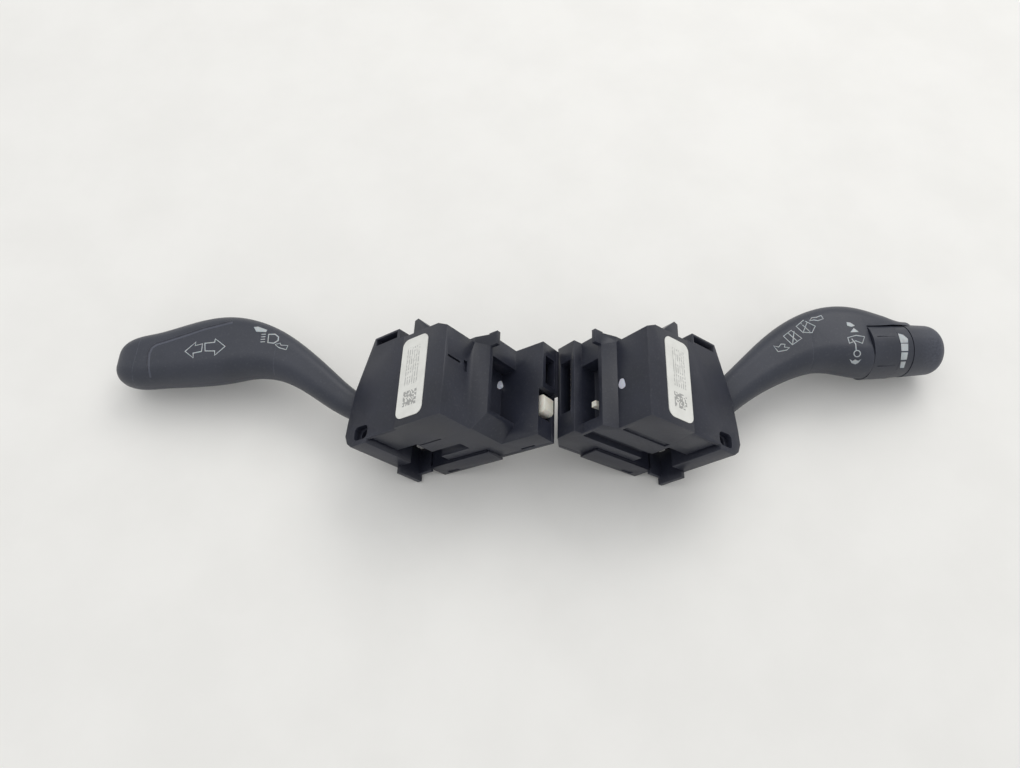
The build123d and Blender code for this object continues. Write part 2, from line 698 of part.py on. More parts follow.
def ring_plane(distance):
    start = Vector(-ring_axis_start[0], wiper_near_y + ring_axis_start[1], label_height - ring_axis_start[2])
    end = Vector(-ring_axis_end[0], wiper_near_y + ring_axis_end[1], label_height - ring_axis_end[2])
    axis = (end - start).normalized()
    return Plane(origin=start + axis * distance, x_dir=(0, 0, 1), z_dir=axis)


def turned(start, length, r_start, r_end, bore=0.0):
    """A turned piece on the ring axis, from one distance along it, with an optional bore."""
    body = Pos(0, 0, length / 2) * (Cylinder(r_start, length) if r_start == r_end else Cone(r_start, r_end, length))
    if bore:
        body -= Pos(0, 0, length / 2) * Cylinder(bore, length + 2)
    return ring_plane(start) * body


def wiper_lever_parts():
    form = lever_form(wiper_stations, wiper_near_y)
    arm = form & slab(0, neck_split)
    arm = arm + module_plane(wiper_near_y).location * lever_root()
    rest = split(form & slab(neck_split, slab_size), bisect_by=ring_plane(spine_end), keep=Keep.BOTTOM)
    # past the ring's near end only the far side goes on, as a spine over ring and bar band
    open_side = ring_plane(0) * Pos(0, -ring_plane_reach, ring_plane_reach) * Box(*[2 * ring_plane_reach] * 3)
    clear = turned(0, 2 * ring_plane_reach, ring_r[0] + spine_clear, ring_r[0] + spine_clear)
    shaft = turned(-shaft_seat, shaft_seat + ring_stack()[-1] + knob_bore, ring_shaft_r, ring_shaft_r)
    body = rest - open_side - clear - shaft
    return arm, body, shaft


def ring_stack():
    """Distances along the ring axis where ring, bar band and end knob begin."""
    ring = ring_gap
    band = ring + ring_length + ring_gap
    return ring, band, band + band_length + ring_gap


def rear_wiper_ring():
    start = ring_stack()[0]
    body = turned(start, ring_length, ring_r[0], ring_r[1], ring_shaft_r + spine_clear / 3)
    for i in range(rib_count):
        flute = Rot(0, 0, 360 * i / rib_count) * Pos(ring_r[0] + rib_depth, 0, ring_length / 2)
        body -= ring_plane(start) * flute * Box(4 * rib_depth, 2 * rib_depth, ring_length - 2 * wall)
    return body


def bar_band():
    return turned(ring_stack()[1], band_length, band_r[0], band_r[1], ring_shaft_r)


def interval_knob():
    start = ring_stack()[2]
    body = turned(start, end_knob_length, knob_r, 0.91 * knob_r)
    rim = body.edges().filter_by(GeomType.CIRCLE).sort_by(lambda edge: edge.center().X)[0]
    body = fillet(rim, end_knob_round)
    bore = turned(start - 1, knob_bore + 1 + fit_gap, ring_shaft_r + spine_clear / 3, ring_shaft_r + spine_clear / 3)
    return body - bore


# ---- assembly ------------------------------------------------------------------------------------------------
def module_nodes(side):
    switch = "flash" if side == "turn" else "wash"
    makers = {
        "housing": housing, "flange": flange, "base": base, "base_screws": base_screws, "label": label,
        "circuit_board": circuit_board, "pin_header": pin_header, "connector_pins": connector_pins,
        "bearing_bridge": bearing_bridge, "yoke": yoke, "pull_pin": pull_pin, "detent_block": detent_block,
        "detent_plunger": detent_plunger, "detent_spring": detent_spring, f"{switch}_switch": pull_switch,
        f"{switch}_button": pull_button, "contact_slider": contact_slider, "contact_strips": contact_strips,
    }
    return {f"{side}_{name}": maker(side) for name, maker in makers.items()}


def build_nodes():
    nodes = module_nodes("turn") | module_nodes("wiper")
    arm, upper, lower, cap, rod = turn_lever_parts()
    nodes |= {"turn_lever_arm": arm, "turn_knob_upper": upper, "turn_knob_lower": lower, "turn_end_cap": cap,
              "turn_core_rod": rod, "cancel_pawl": cancel_pawl(), "pawl_pin": pawl_pin()}
    arm, body, shaft = wiper_lever_parts()
    left_hand = {"wiper_lever_arm": arm, "wiper_knob_body": body, "wiper_ring_shaft": shaft,
                 "rear_wiper_ring": rear_wiper_ring(), "bar_band": bar_band(), "interval_knob": interval_knob()}
    nodes |= {name: solid.mirror(Plane.YZ) for name, solid in left_hand.items()}
    nodes["wiper_clip"] = retaining_clip()
    return nodes


def to_frame(nodes):
    """Moves everything so that the origin is the middle of the outline on the table."""
    boxes = [solid.bounding_box() for solid in nodes.values()]
    low = [min(getattr(box.min, axis) for box in boxes) for axis in "XYZ"]
    high = [max(getattr(box.max, axis) for box in boxes) for axis in "XYZ"]
    shift = Pos(-(low[0] + high[0]) / 2, -(low[1] + high[1]) / 2, -low[2])
    return {name: shift * solid for name, solid in nodes.items()}, shift


nodes, frame_shift = to_frame(build_nodes())
os.makedirs("parts", exist_ok=True)
for name, solid in nodes.items():
    export_step(solid, f"parts/{name}.step")
print(len(nodes), "nodes; frame shift", frame_shift.position)
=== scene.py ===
import bmesh
import bpy
import json
import math
from mathutils import Matrix, Vector

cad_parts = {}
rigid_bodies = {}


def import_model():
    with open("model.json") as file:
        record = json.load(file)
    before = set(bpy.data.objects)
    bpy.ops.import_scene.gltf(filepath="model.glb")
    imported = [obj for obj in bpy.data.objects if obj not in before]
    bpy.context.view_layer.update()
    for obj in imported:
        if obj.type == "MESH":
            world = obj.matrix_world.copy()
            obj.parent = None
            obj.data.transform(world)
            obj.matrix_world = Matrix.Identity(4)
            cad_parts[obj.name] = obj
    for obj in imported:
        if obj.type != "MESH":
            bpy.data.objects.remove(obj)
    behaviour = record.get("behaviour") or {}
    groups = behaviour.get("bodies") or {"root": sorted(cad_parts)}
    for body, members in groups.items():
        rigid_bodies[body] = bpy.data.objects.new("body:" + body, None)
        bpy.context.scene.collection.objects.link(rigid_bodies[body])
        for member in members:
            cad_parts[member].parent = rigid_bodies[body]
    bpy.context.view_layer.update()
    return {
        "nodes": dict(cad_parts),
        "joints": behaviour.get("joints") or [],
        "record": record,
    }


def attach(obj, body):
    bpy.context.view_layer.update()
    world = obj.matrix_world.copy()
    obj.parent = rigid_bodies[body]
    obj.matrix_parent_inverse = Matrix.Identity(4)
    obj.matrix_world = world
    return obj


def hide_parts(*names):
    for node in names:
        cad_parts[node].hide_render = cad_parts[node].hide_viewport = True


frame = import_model()
nodes = frame["nodes"]
scene = bpy.context.scene
print("frame loaded:", len(nodes), "nodes")


# shader maths: a socket that can be added, multiplied and compared like a number
class Sock:
    def __init__(self, tree, out):
        self.tree, self.out = tree, out

    def node(self, kind, inputs=(), outName=0, **settings):
        made = self.tree.nodes.new(kind)
        for name, value in settings.items():
            setattr(made, name, value)
        for key, value in dict(inputs).items():
            self.feed(made.inputs[key], value)
        return Sock(self.tree, made.outputs[outName]) if made.outputs else None

    def feed(self, socket, value):
        if isinstance(value, Sock):
            self.tree.links.new(value.out, socket)
        elif hasattr(socket.default_value, "__len__") and not hasattr(value, "__len__"):
            socket.default_value = [value] * len(socket.default_value)
        elif hasattr(value, "__len__") and len(value) == 3 and len(socket.default_value) == 4:
            socket.default_value = (*value, 1)
        else:
            socket.default_value = value

    def maths(self, operation, *others):
        inputs = {0: self, **{i + 1: other for i, other in enumerate(others)}}
        return self.node("ShaderNodeMath", inputs, operation=operation)

    def __add__(self, other): return self.maths("ADD", other)
    def __radd__(self, other): return self.maths("ADD", other)
    def __sub__(self, other): return self.maths("SUBTRACT", other)
    def __rsub__(self, other): return (self * -1) + other
    def __mul__(self, other): return self.maths("MULTIPLY", other)
    def __rmul__(self, other): return self.maths("MULTIPLY", other)
    def __truediv__(self, other): return self.maths("DIVIDE", other)
    def __rtruediv__(self, other): return self.node("ShaderNodeMath", {0: other, 1: self}, operation="DIVIDE")

    def highest(self, other): return self.maths("MAXIMUM", other)
    def above(self, other): return self.maths("GREATER_THAN", other)
    def below(self, other): return self.maths("LESS_THAN", other)

    # 0 below low, 1 above high, smooth between
    def ramp(self, low, high):
        return self.node("ShaderNodeMapRange", {"Value": self, "From Min": low, "From Max": high},
                         interpolation_type="SMOOTHSTEP")

    def axis(self, letter):
        return self.node("ShaderNodeSeparateXYZ", {0: self}, outName=letter)

    def scaled(self, factor):
        factor = factor if hasattr(factor, "__len__") else (factor,) * 3
        return self.node("ShaderNodeVectorMath", {0: self, 1: factor}, operation="MULTIPLY")

    def noise(self, scale, detail=3, rough=0.55):
        inputs = {"Vector": self, "Scale": scale, "Detail": detail, "Roughness": rough}
        return self.node("ShaderNodeTexNoise", inputs, outName="Fac")

    # low where the mask is 0, high where it is 1
    def blend(self, low, high):
        return self.node("ShaderNodeMix", {0: self, 6: low, 7: high}, outName=2, data_type="RGBA")


def startMaterial(name):
    material = bpy.data.materials.new(name)
    material.use_nodes = True
    tree = material.node_tree
    tree.nodes.clear()
    place = Sock(tree, tree.nodes.new("ShaderNodeTexCoord").outputs["Object"])
    return material, place, place.scaled(1000)  # the last one counts in millimetres


def finishMaterial(material, place, color, rough, height=None, bumpDepth=0.0001, **constants):
    shader = place.node("ShaderNodeBsdfPrincipled", {"Base Color": color, "Roughness": rough})
    principled = shader.out.node
    for name, value in constants.items():
        place.feed(principled.inputs[name.replace("_", " ")], value)
    if height is not None:
        bump = place.node("ShaderNodeBump", {"Height": height, "Distance": bumpDepth, "Strength": 1.0})
        place.feed(principled.inputs["Normal"], bump)
    place.node("ShaderNodeOutputMaterial", {"Surface": shader})
    return material


# up to 1 along edges, from how far the normal turns within the radius
def edgeWear(place, radius):
    bevel = place.node("ShaderNodeBevel", {"Radius": radius}, samples=4)
    geometry = place.node("ShaderNodeNewGeometry", outName="Normal")
    turned = bevel.node("ShaderNodeVectorMath", {0: bevel, 1: geometry}, operation="DOT_PRODUCT",
                        outName="Value")
    return (1.0 - turned).ramp(0.01, 0.28)


# moulded plastic: cloudy tone, fine mould grain, a little dust, and edges rubbed paler
mouldSurface = {"cloudScale": 0.05, "dustScale": 0.9, "dustTone": (0.32, 0.32, 0.31), "dustAmount": 0.10,
                "wearRadius": 0.0005, "wearPatches": 0.35, "cloudRough": 0.18, "specular": 0.5}


def mouldedPlastic(name, deep, light, rough, grain, grainDepth, wear):
    material, place, mm = startMaterial(name)
    clouds = mm.noise(mouldSurface["cloudScale"], 4)
    fine = mm.noise(grain, 2, 0.5)
    dust = mm.noise(mouldSurface["dustScale"], 5, 0.7).ramp(0.52, 0.8)
    patches = mm.noise(mouldSurface["wearPatches"], 4, 0.7).ramp(0.35, 0.65)
    edges = edgeWear(place, mouldSurface["wearRadius"]) * patches
    color = clouds.ramp(0.3, 0.7).blend(deep, light)
    color = (edges * wear).blend(color, [min(1, channel * 3 + 0.08) for channel in light])
    color = (dust * mouldSurface["dustAmount"]).blend(color, mouldSurface["dustTone"])
    roughness = rough + (clouds - 0.5) * mouldSurface["cloudRough"] + dust * mouldSurface["dustAmount"]
    height = fine * 0.8 + mm.noise(grain * 2.7, 1) * 0.3
    return finishMaterial(material, place, color, roughness, height, grainDepth,
                          Specular_IOR_Level=mouldSurface["specular"])


plastics = {
    "module": {"name": "modulePlastic", "deep": (0.0105, 0.0125, 0.0216), "light": (0.0165, 0.0190, 0.0318),
               "rough": 0.40, "grain": 5.0, "grainDepth": 0.00003, "wear": 0.35},
    "flange": {"name": "flangePlastic", "deep": (0.0125, 0.0145, 0.0246), "light": (0.0195, 0.0220, 0.0360),
               "rough": 0.44, "grain": 4.0, "grainDepth": 0.00004, "wear": 0.4},
    "base": {"name": "basePlastic", "deep": (0.0115, 0.0130, 0.0216), "light": (0.0195, 0.0210, 0.0324),
             "rough": 0.42, "grain": 3.0, "grainDepth": 0.00003, "wear": 0.4},
    "stalk": {"name": "stalkPlastic", "deep": (0.0235, 0.0275, 0.0402), "light": (0.0315, 0.0355, 0.0504),
              "rough": 0.43, "grain": 3.2, "grainDepth": 0.00006, "wear": 0.5},
    # a pale finish for the rim along the turn knob's panel; its paleness is a painted highlight where the edge
    # catches the light
    "rim": {"name": "stalkRim", "deep": (0.050, 0.056, 0.0768), "light": (0.068, 0.074, 0.0996),
            "rough": 0.38, "grain": 3.2, "grainDepth": 0.00004, "wear": 0.3},
    "trim": {"name": "stalkTrim", "deep": (0.0215, 0.0250, 0.0366), "light": (0.0290, 0.0325, 0.0462),
             "rough": 0.38, "grain": 4.0, "grainDepth": 0.00004, "wear": 0.5},
    "switch": {"name": "switchPlastic", "deep": (0.008, 0.008, 0.009), "light": (0.012, 0.012, 0.013),
               "rough": 0.35, "grain": 4.0, "grainDepth": 0.00002, "wear": 0.2},
    "board": {"name": "boardLacquer", "deep": (0.012, 0.07, 0.03), "light": (0.02, 0.095, 0.045),
              "rough": 0.3, "grain": 2.0, "grainDepth": 0.00002, "wear": 0.1},
}
materials = {key: mouldedPlastic(**settings) for key, settings in plastics.items()}


# charcoal trim that is rubbed paler and rougher towards its outer end
rubbedKnob = {"deep": (0.0215, 0.0250, 0.0366), "light": (0.0290, 0.0325, 0.0462),
              "rubbed": (0.085, 0.092, 0.1200), "start": 170, "end": 190, "scuffScale": 1.1,
              "grain": 4.0, "grainDepth": 0.00005, "rough": 0.4}


def rubbedTrim(name):
    material, place, mm = startMaterial(name)
    clouds = mm.noise(mouldSurface["cloudScale"], 4)
    scuffs = mm.noise(rubbedKnob["scuffScale"], 5, 0.7).ramp(0.36, 0.66)
    outer = mm.axis("X").ramp(rubbedKnob["start"], rubbedKnob["end"])
    color = clouds.ramp(0.3, 0.7).blend(rubbedKnob["deep"], rubbedKnob["light"])
    color = (outer * (scuffs * 0.55 + 0.2)).blend(color, rubbedKnob["rubbed"])
    color = (edgeWear(place, mouldSurface["wearRadius"]) * 0.5).blend(color, rubbedKnob["rubbed"])
    rough = rubbedKnob["rough"] + (clouds - 0.5) * 0.15 + outer * scuffs * 0.2
    height = mm.noise(rubbedKnob["grain"], 2) * 0.7 + scuffs * outer
    return finishMaterial(material, place, color, rough, height, rubbedKnob["grainDepth"])


materials["knobEnd"] = rubbedTrim("rubbedKnobEnd")


# pale plastic, print and paint: faintly clouded, with grime along the edges
paleSurface = {"cloudScale": 0.2, "grimeRadius": 0.0006, "grimeScale": 0.8, "grimeAmount": 0.35,
               "cloudRough": 0.12, "grain": 3, "grainDepth": 0.00004}


# grime settles in patches along the edges
def grimedEdges(place, mm, color, grimeTone):
    patches = mm.noise(paleSurface["grimeScale"], 4).ramp(0.3, 0.7)
    grime = edgeWear(place, paleSurface["grimeRadius"]) * patches
    return (grime * paleSurface["grimeAmount"]).blend(color, grimeTone)


def plainWhite(name, tone, shade, rough):
    material, place, mm = startMaterial(name)
    clouds = mm.noise(paleSurface["cloudScale"], 4)
    color = clouds.ramp(0.35, 0.7).blend(tone, shade)
    color = grimedEdges(place, mm, color, [channel * 0.6 for channel in shade])
    roughness = rough + clouds * paleSurface["cloudRough"]
    return finishMaterial(material, place, color, roughness, mm.noise(paleSurface["grain"], 3),
                          paleSurface["grainDepth"], Subsurface_Weight=0.08, Subsurface_Scale=0.001)


whites = {
    "natural": {"name": "naturalPlastic", "tone": (0.74, 0.72, 0.64), "shade": (0.66, 0.63, 0.54),
                "rough": 0.36},
    "print": {"name": "printWhite", "tone": (0.48, 0.50, 0.51), "shade": (0.38, 0.40, 0.41), "rough": 0.5},
    "paint": {"name": "markingPaint", "tone": (0.66, 0.67, 0.74), "shade": (0.58, 0.59, 0.66), "rough": 0.4},
}
materials.update({key: plainWhite(**settings) for key, settings in whites.items()})


# label paper with plain grey strokes and a speckled block, in millimetres along and across the label
labelPrint = {"middle": 5.99336, "front": 36.6509,
              "slope": math.radians(38.25), "slopeOut": 80.5, "slopeUp": 31.504,
              "rows": (29.6, 37.4), "lines": (17.6, 35.4), "pitch": 1.3, "strokeShare": 0.46,
              "wordLength": 0.8, "wordGaps": 0.28, "wordInk": 0.42,
              "blockRun": (29.8, 37.24), "blockDeep": (8.06, 14.88),
              "blockCell": 0.62, "blockGaps": 0.42, "blockInk": 0.62,
              "paper": (0.78, 0.78, 0.735), "aged": (0.72, 0.72, 0.675), "ink": (0.12, 0.12, 0.125),
              "grime": (0.42, 0.42, 0.40), "rough": 0.42}


# side is 1 for the turn module and -1 for the wiper module, near is where its near face stands
def printedLabel(name, side, near, seed):
    material, place, mm = startMaterial(name)
    inwards = (mm.axis("X") - labelPrint["middle"]) * side + labelPrint["slopeOut"]
    upwards = mm.axis("Z") - labelPrint["slopeUp"]
    run = inwards * math.cos(labelPrint["slope"]) + upwards * math.sin(labelPrint["slope"])
    deep = mm.axis("Y") + labelPrint["front"] - near

    def inside(value, low, high):
        return value.above(low) * value.below(high)

    def speckle(cellRun, cellDeep, gaps):
        cell = run.node("ShaderNodeCombineXYZ", {"X": (run / cellRun).maths("FLOOR"),
                                                 "Y": (deep / cellDeep).maths("FLOOR"), "Z": seed})
        return cell.node("ShaderNodeTexWhiteNoise", {"Vector": cell}, noise_dimensions="3D").above(gaps)

    row = (run - labelPrint["rows"][0]) / labelPrint["pitch"]
    stroke = row.maths("FRACT").below(labelPrint["strokeShare"])
    stroke = stroke * inside(run, *labelPrint["rows"]) * inside(deep, *labelPrint["lines"])
    words = stroke * speckle(labelPrint["pitch"], labelPrint["wordLength"], labelPrint["wordGaps"])
    block = inside(run, *labelPrint["blockRun"]) * inside(deep, *labelPrint["blockDeep"])
    block = block * speckle(labelPrint["blockCell"], labelPrint["blockCell"], labelPrint["blockGaps"])
    clouds = mm.noise(paleSurface["cloudScale"], 4)
    paper = clouds.ramp(0.35, 0.7).blend(labelPrint["paper"], labelPrint["aged"])
    ink = (words * labelPrint["wordInk"]).highest(block * labelPrint["blockInk"])
    color = grimedEdges(place, mm, ink.blend(paper, labelPrint["ink"]), labelPrint["grime"])
    roughness = labelPrint["rough"] + clouds * paleSurface["cloudRough"]
    return finishMaterial(material, place, color, roughness, mm.noise(paleSurface["grain"], 3),
                          paleSurface["grainDepth"])


materials["turnLabel"] = printedLabel("turnLabelPaper", side=1, near=-1.2, seed=3.0)
materials["wiperLabel"] = printedLabel("wiperLabelPaper", side=-1, near=1.2, seed=8.0)


# bare metal, streaked along its length and stained in places
def metal(name, tone, rough):
    material, place, mm = startMaterial(name)
    streaks = mm.scaled((1, 1, 6)).noise(1.6, 4, 0.6)
    stain = mm.noise(0.5, 4).ramp(0.45, 0.75)
    color = (stain * 0.4).blend(tone, [channel * 0.6 for channel in tone])
    return finishMaterial(material, place, color, rough + streaks * 0.16, streaks, 0.00002, Metallic=1.0)


materials["steel"] = metal("zincSteel", tone=(0.56, 0.56, 0.57), rough=0.26)
materials["brass"] = metal("tinnedBrass", tone=(0.70, 0.55, 0.30), rough=0.26)

slotMaterial = {"module_black": "module", "flange_black": "flange", "base_grey": "base",
                "stalk_charcoal": "stalk", "stalk_trim": "trim", "dark_switch": "switch",
                "label_white": "print", "natural_white": "natural",
                "steel": "steel", "brass": "brass", "board_green": "board"}
ownMaterial = {"turn_label": "turnLabel", "wiper_label": "wiperLabel", "interval_knob": "knobEnd"}
for part in frame["record"]["subparts"]:
    node = nodes[part["node"]]
    node.data.materials.clear()
    node.data.materials.append(materials[ownMaterial.get(part["node"], slotMaterial[part["material_slot"]])])
print("materials:", len(materials))


# camera, set first because the printed marks are laid on along its sight lines
view = {"at": (-0.002906, -0.163831, 0.329130), "forward": (-0.01709, 0.46427, -0.88553),
        "up": (-0.0326, 0.88493, 0.46443), "lens": 27.26, "sensor": 36.0, "near": 0.01, "far": 20,
        "width": 1020, "height": 768}
cameraData = bpy.data.cameras.new("camera")
cameraData.lens, cameraData.sensor_width = view["lens"], view["sensor"]
cameraData.clip_start, cameraData.clip_end = view["near"], view["far"]
camera = bpy.data.objects.new("camera", cameraData)
scene.collection.objects.link(camera)
forward = Vector(view["forward"]).normalized()
right = forward.cross(Vector(view["up"])).normalized()
upward = right.cross(forward)
camera.matrix_world = Matrix.Translation(view["at"]) @ Matrix((right, upward, -forward)).transposed().to_4x4()
scene.camera = camera
scene.view_settings.view_transform = "Standard"
print("camera set")


# small helpers for modelling by hand
def selectOnly(*objects):
    bpy.ops.object.select_all(action="DESELECT")
    for item in objects:
        item.select_set(True)
    bpy.context.view_layer.objects.active = objects[0]


def ownCopy(source, name):
    piece = bpy.data.objects.new(name, source.data.copy())
    scene.collection.objects.link(piece)
    return piece


def inEdit(piece, *steps):
    selectOnly(piece)
    bpy.ops.object.mode_set(mode="EDIT")
    bpy.ops.mesh.select_all(action="SELECT")
    for step in steps:
        step()
    bpy.ops.object.mode_set(mode="OBJECT")


def applyModifier(piece, kind, **settings):
    selectOnly(piece)
    modifier = piece.modifiers.new(kind.lower(), kind)
    for key, value in settings.items():
        setattr(modifier, key, value)
    bpy.ops.object.modifier_apply(modifier=modifier.name)


def shadeByAngle(piece, degrees):
    selectOnly(piece)
    bpy.ops.object.shade_smooth_by_angle(angle=math.radians(degrees), keep_sharp_edges=True)


def finishPiece(piece, body, material):
    piece.data.materials.clear()
    piece.data.materials.append(material)
    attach(piece, body)


slotOf = {part["node"]: part["material_slot"] for part in frame["record"]["subparts"]}
bodyOf = {name: body for body, names in frame["record"]["behaviour"]["bodies"].items() for name in names}


# outer corners sharper than so many degrees are broken, inner ones only with innerToo, and otherwise stay crisp
# edges that touch a plain spot, an x and z place, are left alone, because breaking them would open the shell
corners = {"rings": 2, "crispInner": 20, "spotReach": 0.0006, "mergeReach": 0.000004}


def breakCorners(piece, width, degrees, innerToo=False, plainSpots=()):
    mesh = bmesh.new()
    mesh.from_mesh(piece.data)
    edgeWeights = mesh.edges.layers.float
    weight = edgeWeights.get("bevel_weight_edge") or edgeWeights.new("bevel_weight_edge")
    for edge in mesh.edges:
        turn = edge.calc_face_angle_signed(0) if len(edge.link_faces) == 2 else 0
        plain = any(math.hypot(vertex.co.x - x, vertex.co.z - z) < corners["spotReach"]
                    for vertex in edge.verts for x, z in plainSpots)
        broken = (abs(turn) if innerToo else turn) > math.radians(degrees) and not plain
        edge[weight] = 1.0 if broken else 0.0
        if turn < -math.radians(corners["crispInner"]) and not broken:
            edge.smooth = False
    mesh.to_mesh(piece.data)
    mesh.free()
    applyModifier(piece, "BEVEL", width=width, segments=corners["rings"], limit_method="WEIGHT",
                  use_clamp_overlap=True, miter_outer="MITER_ARC")
    inEdit(piece, lambda: bpy.ops.mesh.quads_convert_to_tris())


# moulded pieces with their corners broken, as they leave the tool
moulded = {"width": 0.00035, "corner": 22, "smooth": 31,
           "everyCorner": ("wiper_housing",), "everyCornerFrom": 32, "everyCornerSmooth": 40,
           "flatWithin": 0.6,
           "plainSpots": ((-0.03585, 0.00343), (-0.01216, 0.03160), (0.04780, 0.00345), (0.05533, 0.01297)),
           "pieces": {"turn_housing": "turnHousingShell", "wiper_housing": "wiperHousingShell",
                      "turn_flange": "turnFlangeShell", "wiper_flange": "wiperFlangeShell",
                      "turn_base": "turnBaseShell", "wiper_base": "wiperBaseShell",
                      "cancel_pawl": "cancelPawlShell"}}
# the turn flange's mouth is opened a little on the side that the arm swings against
mouthEase = {"node": "turn_flange", "low": (-0.080, -0.02788, 0.0), "high": (-0.040, -0.02782, 0.040),
             "by": (0, -0.00016, 0)}
for nodeName, newName in moulded["pieces"].items():
    piece = ownCopy(nodes[nodeName], newName)
    inEdit(piece, lambda: bpy.ops.mesh.remove_doubles(threshold=corners["mergeReach"]),
           lambda: bpy.ops.mesh.dissolve_limited(angle_limit=math.radians(moulded["flatWithin"])))
    if nodeName == mouthEase["node"]:
        for vertex in piece.data.vertices:
            if all(mouthEase["low"][i] < vertex.co[i] < mouthEase["high"][i] for i in range(3)):
                vertex.co += Vector(mouthEase["by"])
    innerToo = nodeName in moulded["everyCorner"]
    breakCorners(piece, moulded["width"], moulded["everyCornerFrom"] if innerToo else moulded["corner"],
                 innerToo, moulded["plainSpots"])
    shadeByAngle(piece, moulded["everyCornerSmooth"] if innerToo else moulded["smooth"])
    finishPiece(piece, bodyOf[nodeName], materials[slotMaterial[slotOf[nodeName]]])
    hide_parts(nodeName)
    print("rounded:", newName, len(piece.data.polygons), "faces")


# the wiper knob's spine comes down over the bar band and ends close over the end knob
spine = {"from": 0.0115, "to": 0.024, "innerRise": 0.0132, "drop": 0.00105, "thinEnd": 0.62,
         "flatWithin": 0.4, "width": 0.0003, "corner": 36, "smooth": 34}
ringJoint = next(joint for joint in frame["joints"] if joint["name"] == "interval_set")
ringAxis, ringStart = Vector(ringJoint["axis"]).normalized(), Vector(ringJoint["pos_m"])
knobShell = ownCopy(nodes["wiper_knob_body"], "wiperKnobShell")
inEdit(knobShell, lambda: bpy.ops.mesh.remove_doubles(threshold=corners["mergeReach"]))
for vertex in knobShell.data.vertices:
    along = (vertex.co - ringStart).dot(ringAxis)
    if along > spine["from"]:
        centre = ringStart + ringAxis * along
        outward = vertex.co - centre
        reach = outward.length
        share = min(1, (along - spine["from"]) / (spine["to"] - spine["from"]))
        share = share * share * (3 - 2 * share)  # eases in and out
        thinner = 1 + (spine["thinEnd"] - 1) * share
        newReach = spine["innerRise"] + (reach - spine["innerRise"]) * thinner - spine["drop"] * share
        vertex.co = centre + outward * (newReach / reach)
inEdit(knobShell, lambda: bpy.ops.mesh.dissolve_limited(angle_limit=math.radians(spine["flatWithin"])))
breakCorners(knobShell, spine["width"], spine["corner"])
shadeByAngle(knobShell, spine["smooth"])
finishPiece(knobShell, bodyOf["wiper_knob_body"],
            materials[slotMaterial[slotOf["wiper_knob_body"]]])
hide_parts("wiper_knob_body")
print("spine brought down:", len(knobShell.data.polygons), "faces")


# marks are placed by x and y, counted across and down the camera's frame from its upper left corner
middleX, middleY = view["width"] / 2, view["height"] / 2
frameReach = 0.5 * view["sensor"] / view["lens"]


def sightLine(x, y):
    across, up = (x - middleX) / middleX * frameReach, (middleY - y) / middleX * frameReach
    return (forward + right * across + upward * up).normalized()


# a filled outline, or a ribbon along a line where a width is given, drawn flat around its centre
def flatShape(points, closed, width, centre, scale):
    data = bpy.data.curves.new("markLine", "CURVE")
    data.dimensions, data.fill_mode = ("2D", "BOTH") if not width else ("3D", "FULL")
    data.twist_mode = "Z_UP"
    spline = data.splines.new("POLY")
    spline.points.add(len(points) - 1)
    for point, (x, y) in zip(spline.points, points):
        point.co = ((x - centre[0]) * scale, (centre[1] - y) * scale, 0, 1)
    spline.use_cyclic_u = closed
    if width:
        nib = bpy.data.curves.new("nib", "CURVE")
        stroke = nib.splines.new("POLY")
        stroke.points.add(1)
        for point, end in zip(stroke.points, (-1, 1)):
            point.co = (end * width * scale / 2, 0, 0, 1)
        nibHolder = bpy.data.objects.new("nib", nib)
        scene.collection.objects.link(nibHolder)
        data.bevel_mode, data.bevel_object = "OBJECT", nibHolder
    holder = bpy.data.objects.new("markLine", data)
    scene.collection.objects.link(holder)
    selectOnly(holder)
    bpy.ops.object.convert(target="MESH")
    if width:
        bpy.data.objects.remove(nibHolder)
    return bpy.context.object


# a mark is drawn flat in front of the surface, pressed onto it along the sight line and given its thickness
markLay = {"liftOff": 0.01, "proud": 0.00003, "thick": 0.00006, "cuts": 3, "merge": 0.000002}


def layMark(name, centre, shapes, target, body, material,
            cuts=markLay["cuts"], thick=markLay["thick"]):
    sight = sightLine(*centre)
    eye = Vector(view["at"])
    hit, where = target.ray_cast(eye, sight)[:2]
    if not hit:
        raise RuntimeError(name + " meets no surface")
    scale = (where - eye).length * frameReach / middleX
    flats = [flatShape(points, closed, width, centre, scale) for points, closed, width in shapes]
    selectOnly(*flats)
    if len(flats) > 1:
        bpy.ops.object.join()
    mark = bpy.context.view_layer.objects.active
    mark.name = mark.data.name = name
    side = sight.cross(upward).normalized()
    over = side.cross(sight)
    turned = Matrix((side, over, -sight)).transposed().to_4x4()
    mark.matrix_world = Matrix.Translation(where - sight * markLay["liftOff"]) @ turned
    inEdit(mark, lambda: bpy.ops.mesh.quads_convert_to_tris(),
           lambda: bpy.ops.mesh.subdivide(number_cuts=cuts),
           lambda: bpy.ops.mesh.normals_make_consistent(inside=False))
    applyModifier(mark, "SHRINKWRAP", target=target, wrap_method="PROJECT", use_project_z=True,
                  use_negative_direction=True, use_positive_direction=False, offset=markLay["proud"])
    bpy.ops.object.transform_apply(location=True, rotation=True, scale=True)
    inEdit(mark, lambda: bpy.ops.mesh.remove_doubles(threshold=markLay["merge"]),
           lambda: bpy.ops.mesh.normals_make_consistent(inside=False))
    if sum(face.normal.dot(sight) * face.area for face in mark.data.polygons) > 0:
        inEdit(mark, lambda: bpy.ops.mesh.flip_normals())
    applyModifier(mark, "SOLIDIFY", thickness=thick, offset=-1.0)
    finishPiece(mark, body, material)


# one surface for marks to be laid on, made from copies and taken away afterwards
def joinedTarget(name, *parts):
    copies = [ownCopy(part, name) for part in parts]
    selectOnly(*copies)
    bpy.ops.object.join()
    return bpy.context.view_layer.objects.active


